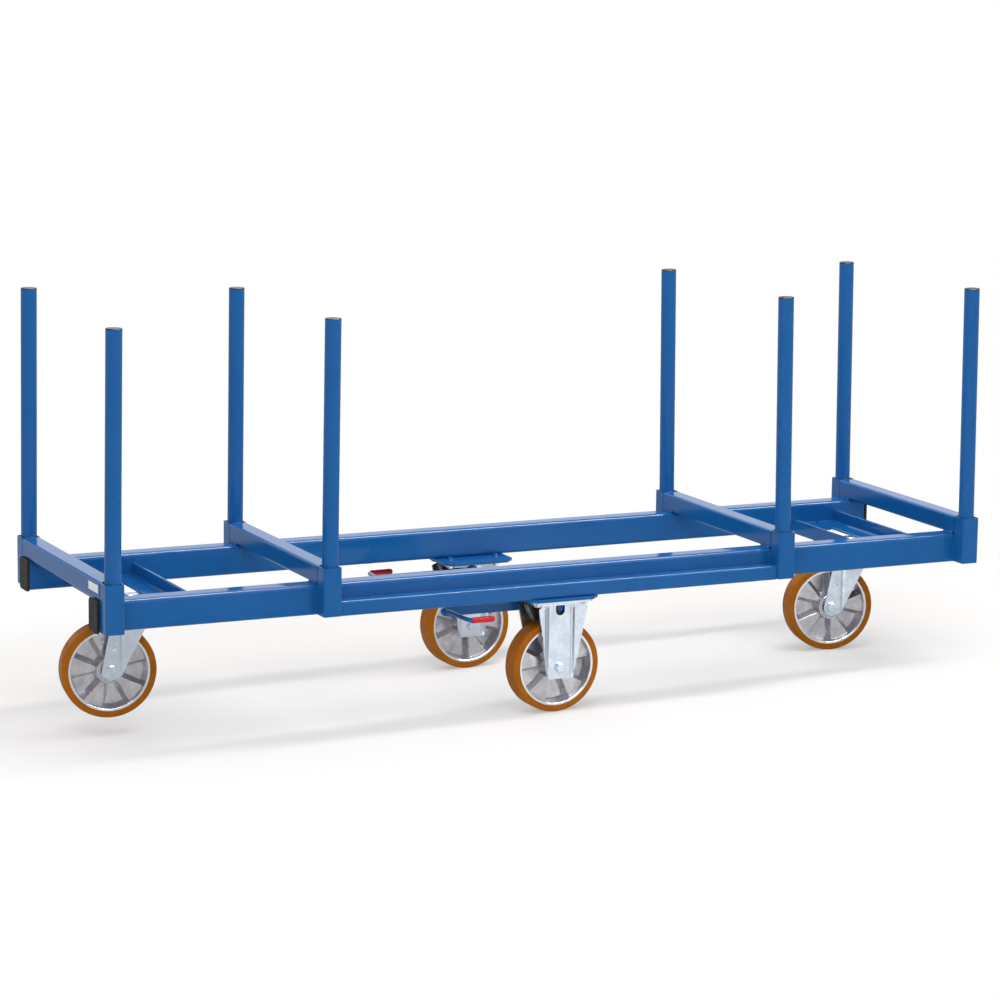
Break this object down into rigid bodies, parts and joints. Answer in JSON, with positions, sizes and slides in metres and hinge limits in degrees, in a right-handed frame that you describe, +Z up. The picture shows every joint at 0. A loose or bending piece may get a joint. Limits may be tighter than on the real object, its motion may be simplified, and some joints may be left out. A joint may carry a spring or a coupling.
{
  "type": "long material cart",
  "caption": "Long low cart for bars and tubes: welded tube frame, loose round stakes in pockets, swivel castors at both ends and braked fixed castors in the middle.",
  "frame": {"origin": "on the floor under the fixed castors, midway along and across the cart", "axes": "+X along the cart, +Y across it to the back, +Z up"},
  "size_m": [2.566, 0.724, 1.111],
  "materials": {
    "blue_paint": "glossy powder coat",
    "zinc": "bright zinc plate",
    "cast_aluminium": "die cast, satin",
    "polyurethane": "amber polyurethane, glossy",
    "black_plastic": "satin",
    "black_rubber": "matt",
    "red_plastic": "glossy dipped plastic",
    "black_steel": "black coated steel",
    "bearing_seal": "satin",
    "label_paper": "plain white label"
  },
  "bodies": {
    "cart_frame": {"side_rail_front": "blue_paint", "rail_buffer_front_left": "black_rubber", "rail_buffer_front_right": "black_rubber", "stake_pocket_front_1": "blue_paint", "stake_pocket_front_2": "blue_paint", "stake_pocket_front_3": "blue_paint", "stake_pocket_front_4": "blue_paint", "fixed_bracket_front": "zinc", "side_rail_back": "blue_paint", "rail_buffer_back_left": "black_rubber", "rail_buffer_back_right": "black_rubber", "stake_pocket_back_1": "blue_paint", "stake_pocket_back_2": "blue_paint", "stake_pocket_back_3": "blue_paint", "stake_pocket_back_4": "blue_paint", "fixed_bracket_back": "zinc", "cross_bar_1": "blue_paint", "cross_bar_2": "blue_paint", "cross_bar_3": "blue_paint", "cross_bar_4": "blue_paint", "castor_angle_left_outer": "blue_paint", "castor_angle_left_inner": "blue_paint", "swivel_plate_left": "zinc", "castor_angle_right_outer": "blue_paint", "castor_angle_right_inner": "blue_paint", "swivel_plate_right": "zinc", "wheel_axle_front": "zinc", "wheel_axle_back": "zinc"},
    "swivel_left": {"swivel_fork_left": "zinc", "wheel_axle_left": "zinc"},
    "wheel_left": {"wheel_rim_left": "cast_aluminium", "wheel_tyre_left": "polyurethane"},
    "swivel_right": {"swivel_fork_right": "zinc", "wheel_axle_right": "zinc"},
    "wheel_right": {"wheel_rim_right": "cast_aluminium", "wheel_tyre_right": "polyurethane"},
    "wheel_front": {"wheel_rim_front": "cast_aluminium", "wheel_tyre_front": "polyurethane"},
    "lever_front": {"brake_lever_front": "blue_paint", "brake_grip_front": "red_plastic"},
    "wheel_back": {"wheel_rim_back": "cast_aluminium", "wheel_tyre_back": "polyurethane"},
    "lever_back": {"brake_lever_back": "blue_paint", "brake_grip_back": "red_plastic"},
    "loose_stake_front_1": {"stake_front_1": "blue_paint", "stake_cap_front_1": "black_plastic"},
    "loose_stake_front_2": {"stake_front_2": "blue_paint", "stake_cap_front_2": "black_plastic"},
    "loose_stake_front_3": {"stake_front_3": "blue_paint", "stake_cap_front_3": "black_plastic"},
    "loose_stake_front_4": {"stake_front_4": "blue_paint", "stake_cap_front_4": "black_plastic"},
    "loose_stake_back_1": {"stake_back_1": "blue_paint", "stake_cap_back_1": "black_plastic"},
    "loose_stake_back_2": {"stake_back_2": "blue_paint", "stake_cap_back_2": "black_plastic"},
    "loose_stake_back_3": {"stake_back_3": "blue_paint", "stake_cap_back_3": "black_plastic"},
    "loose_stake_back_4": {"stake_back_4": "blue_paint", "stake_cap_back_4": "black_plastic"}
  },
  "joints": [
    {"name": "swivel_left_turn", "type": "hinge", "parent": "cart_frame", "child": "swivel_left", "pos_m": [-1.08, 0, 0.325], "axis": [0, 0, 1], "continuous": true},
    {"name": "wheel_left_spin", "type": "hinge", "parent": "swivel_left", "child": "wheel_left", "pos_m": [-1.14407, 0.01095, 0.148], "axis": [0.1685, 0.9857, 0], "continuous": true},
    {"name": "swivel_right_turn", "type": "hinge", "parent": "cart_frame", "child": "swivel_right", "pos_m": [1.08, 0, 0.325], "axis": [0, 0, 1], "continuous": true},
    {"name": "wheel_right_spin", "type": "hinge", "parent": "swivel_right", "child": "wheel_right", "pos_m": [1.01635, 0.01318, 0.148], "axis": [0.2028, 0.9792, 0], "continuous": true},
    {"name": "wheel_front_spin", "type": "hinge", "parent": "cart_frame", "child": "wheel_front", "pos_m": [0, -0.2795, 0.125], "axis": [0, 1, 0], "continuous": true},
    {"name": "brake_front_press", "type": "hinge", "parent": "cart_frame", "child": "lever_front", "pos_m": [0, -0.2795, 0.285], "axis": [0, -1, 0], "range_deg": [0, 8]},
    {"name": "wheel_back_spin", "type": "hinge", "parent": "cart_frame", "child": "wheel_back", "pos_m": [0, 0.2795, 0.125], "axis": [0, 1, 0], "continuous": true},
    {"name": "brake_back_press", "type": "hinge", "parent": "cart_frame", "child": "lever_back", "pos_m": [0, 0.2795, 0.285], "axis": [0, -1, 0], "range_deg": [0, 8]},
    {"name": "stake_front_1_lift", "type": "slide", "parent": "cart_frame", "child": "loose_stake_front_1", "axis": [0, 0, 1], "range_m": [0, 0.12]},
    {"name": "stake_front_2_lift", "type": "slide", "parent": "cart_frame", "child": "loose_stake_front_2", "axis": [0, 0, 1], "range_m": [0, 0.12]},
    {"name": "stake_front_3_lift", "type": "slide", "parent": "cart_frame", "child": "loose_stake_front_3", "axis": [0, 0, 1], "range_m": [0, 0.12]},
    {"name": "stake_front_4_lift", "type": "slide", "parent": "cart_frame", "child": "loose_stake_front_4", "axis": [0, 0, 1], "range_m": [0, 0.12]},
    {"name": "stake_back_1_lift", "type": "slide", "parent": "cart_frame", "child": "loose_stake_back_1", "axis": [0, 0, 1], "range_m": [0, 0.12]},
    {"name": "stake_back_2_lift", "type": "slide", "parent": "cart_frame", "child": "loose_stake_back_2", "axis": [0, 0, 1], "range_m": [0, 0.12]},
    {"name": "stake_back_3_lift", "type": "slide", "parent": "cart_frame", "child": "loose_stake_back_3", "axis": [0, 0, 1], "range_m": [0, 0.12]},
    {"name": "stake_back_4_lift", "type": "slide", "parent": "cart_frame", "child": "loose_stake_back_4", "axis": [0, 0, 1], "range_m": [0, 0.12]}
  ]
}
